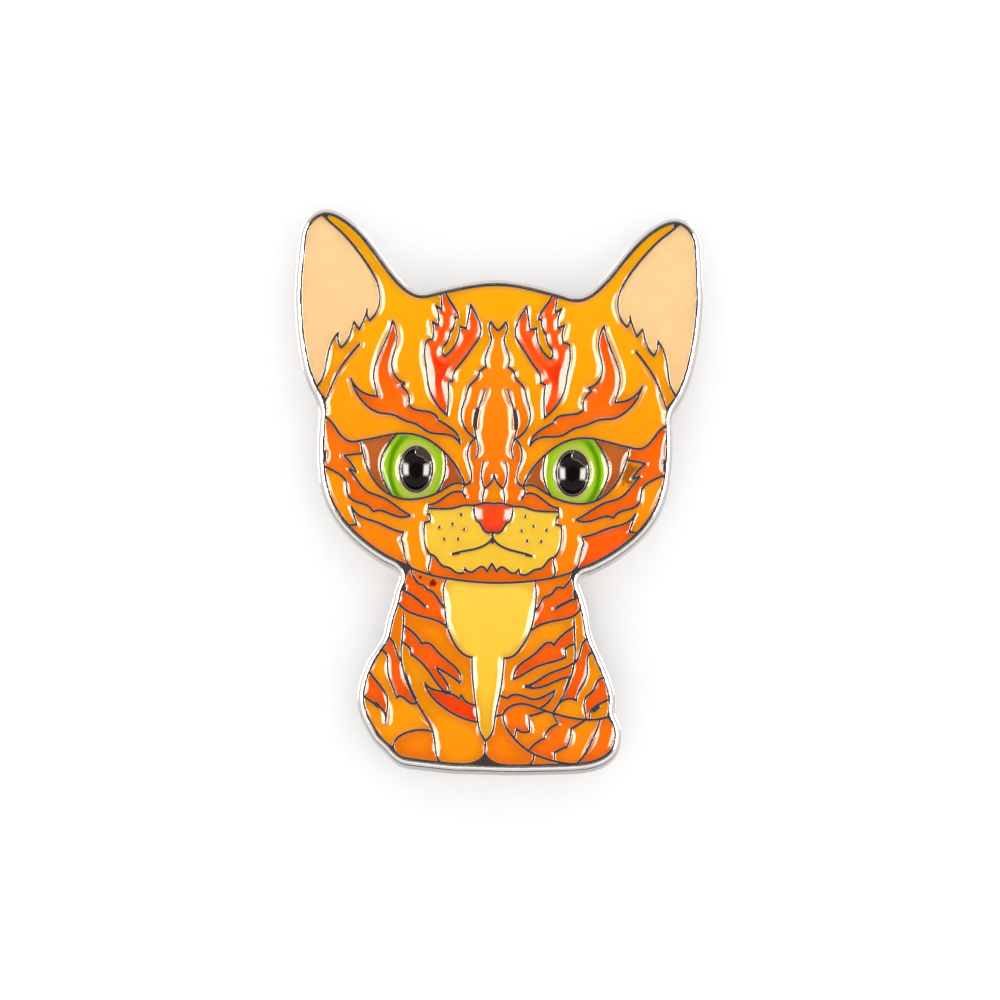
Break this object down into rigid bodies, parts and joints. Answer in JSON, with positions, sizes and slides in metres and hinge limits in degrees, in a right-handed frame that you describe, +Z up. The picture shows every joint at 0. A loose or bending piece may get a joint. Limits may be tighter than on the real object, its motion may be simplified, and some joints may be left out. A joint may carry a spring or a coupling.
{
  "type": "enamel pin",
  "caption": "Flat die-struck pin shaped as a sitting tabby kitten, with recessed glossy enamel, posts on the back and butterfly clutches with squeezable wings.",
  "frame": {"origin": "on the flat back of the plate, on the head's middle line, half way between the two posts", "axes": "+Z up the kitten, -Y out of the decorated front, +Y along the posts away from the back"},
  "size_m": [0.028, 0.0114, 0.0389],
  "materials": {
    "nickel_plate": "polished nickel plating",
    "post_steel": "polished nickel plating",
    "clutch_nickel": "bright nickel plating",
    "coat_enamel": "glossy soft enamel",
    "lower_coat_enamel": "glossy soft enamel",
    "stripe_enamel": "glossy soft enamel",
    "deep_stripe_enamel": "glossy soft enamel",
    "cream_enamel": "glossy soft enamel",
    "yellow_enamel": "glossy soft enamel",
    "green_enamel": "glossy soft enamel",
    "brown_enamel": "glossy soft enamel",
    "nose_enamel": "glossy soft enamel",
    "black_enamel": "glossy soft enamel"
  },
  "bodies": {
    "pin": {"die_struck_plate": "nickel_plate", "enamel_bib": "yellow_enamel", "enamel_chin": "deep_stripe_enamel", "enamel_crown": "coat_enamel", "enamel_forehead": "stripe_enamel", "enamel_left_cheek": "coat_enamel", "enamel_left_crown_flame": "stripe_enamel", "enamel_left_eye_corners": "brown_enamel", "enamel_left_flank_stripe": "deep_stripe_enamel", "enamel_left_foreleg": "lower_coat_enamel", "enamel_left_front_paw": "lower_coat_enamel", "enamel_left_haunch": "lower_coat_enamel", "enamel_left_haunch_stripe": "deep_stripe_enamel", "enamel_left_hind_paw": "lower_coat_enamel", "enamel_left_inner_ear": "cream_enamel", "enamel_left_iris": "green_enamel", "enamel_left_lower_cheek_stripe": "stripe_enamel", "enamel_left_lower_leg_stripe": "deep_stripe_enamel", "enamel_left_pupil": "black_enamel", "enamel_left_shoulder_stripe": "deep_stripe_enamel", "enamel_left_temple_stripe": "stripe_enamel", "enamel_left_upper_cheek_stripe": "stripe_enamel", "enamel_left_upper_leg_stripe": "deep_stripe_enamel", "enamel_muzzle": "yellow_enamel", "enamel_neck": "lower_coat_enamel", "enamel_nose": "nose_enamel", "enamel_nose_bridge": "coat_enamel", "enamel_right_cheek": "coat_enamel", "enamel_right_crown_flame": "stripe_enamel", "enamel_right_eye_corners": "brown_enamel", "enamel_right_flank_stripe": "deep_stripe_enamel", "enamel_right_foreleg": "lower_coat_enamel", "enamel_right_front_paw": "lower_coat_enamel", "enamel_right_haunch": "lower_coat_enamel", "enamel_right_haunch_stripe": "deep_stripe_enamel", "enamel_right_hind_paw": "lower_coat_enamel", "enamel_right_inner_ear": "cream_enamel", "enamel_right_iris": "green_enamel", "enamel_right_lower_cheek_stripe": "stripe_enamel", "enamel_right_lower_leg_stripe": "deep_stripe_enamel", "enamel_right_middle_leg_stripe": "deep_stripe_enamel", "enamel_right_pupil": "black_enamel", "enamel_right_shoulder_stripe": "deep_stripe_enamel", "enamel_right_temple_stripe": "stripe_enamel", "enamel_right_upper_cheek_stripe": "stripe_enamel", "enamel_right_upper_leg_stripe": "deep_stripe_enamel", "enamel_tail_coat": "lower_coat_enamel", "enamel_tail_stripes": "deep_stripe_enamel", "upper_post": "post_steel", "lower_post": "post_steel"},
    "upper_clutch": {"upper_clutch_disc": "clutch_nickel", "upper_clutch_cap": "clutch_nickel"},
    "upper_right_wing": {"upper_clutch_right_wing": "clutch_nickel"},
    "upper_left_wing": {"upper_clutch_left_wing": "clutch_nickel"},
    "lower_clutch": {"lower_clutch_disc": "clutch_nickel", "lower_clutch_cap": "clutch_nickel"},
    "lower_right_wing": {"lower_clutch_right_wing": "clutch_nickel"},
    "lower_left_wing": {"lower_clutch_left_wing": "clutch_nickel"}
  },
  "joints": [
    {"name": "upper_clutch_slide", "type": "slide", "parent": "pin", "child": "upper_clutch", "axis": [0, 1, 0], "range_m": [-0.0022, 0.02]},
    {"name": "upper_right_wing_squeeze", "type": "hinge", "parent": "upper_clutch", "child": "upper_right_wing", "pos_m": [0.00295, 0.00515, 0.009], "axis": [0, 0, 1], "range_deg": [0, 12]},
    {"name": "upper_left_wing_squeeze", "type": "hinge", "parent": "upper_clutch", "child": "upper_left_wing", "pos_m": [-0.00295, 0.00515, 0.009], "axis": [0, 0, 1], "range_deg": [-12, 0]},
    {"name": "lower_clutch_slide", "type": "slide", "parent": "pin", "child": "lower_clutch", "axis": [0, 1, 0], "range_m": [-0.0022, 0.02]},
    {"name": "lower_right_wing_squeeze", "type": "hinge", "parent": "lower_clutch", "child": "lower_right_wing", "pos_m": [0.00295, 0.00515, -0.009], "axis": [0, 0, 1], "range_deg": [0, 12]},
    {"name": "lower_left_wing_squeeze", "type": "hinge", "parent": "lower_clutch", "child": "lower_left_wing", "pos_m": [-0.00295, 0.00515, -0.009], "axis": [0, 0, 1], "range_deg": [-12, 0]}
  ],
  "couplings": [
    {"joint": "upper_left_wing_squeeze", "follows": "upper_right_wing_squeeze", "ratio": -1},
    {"joint": "lower_left_wing_squeeze", "follows": "lower_right_wing_squeeze", "ratio": -1}
  ]
}
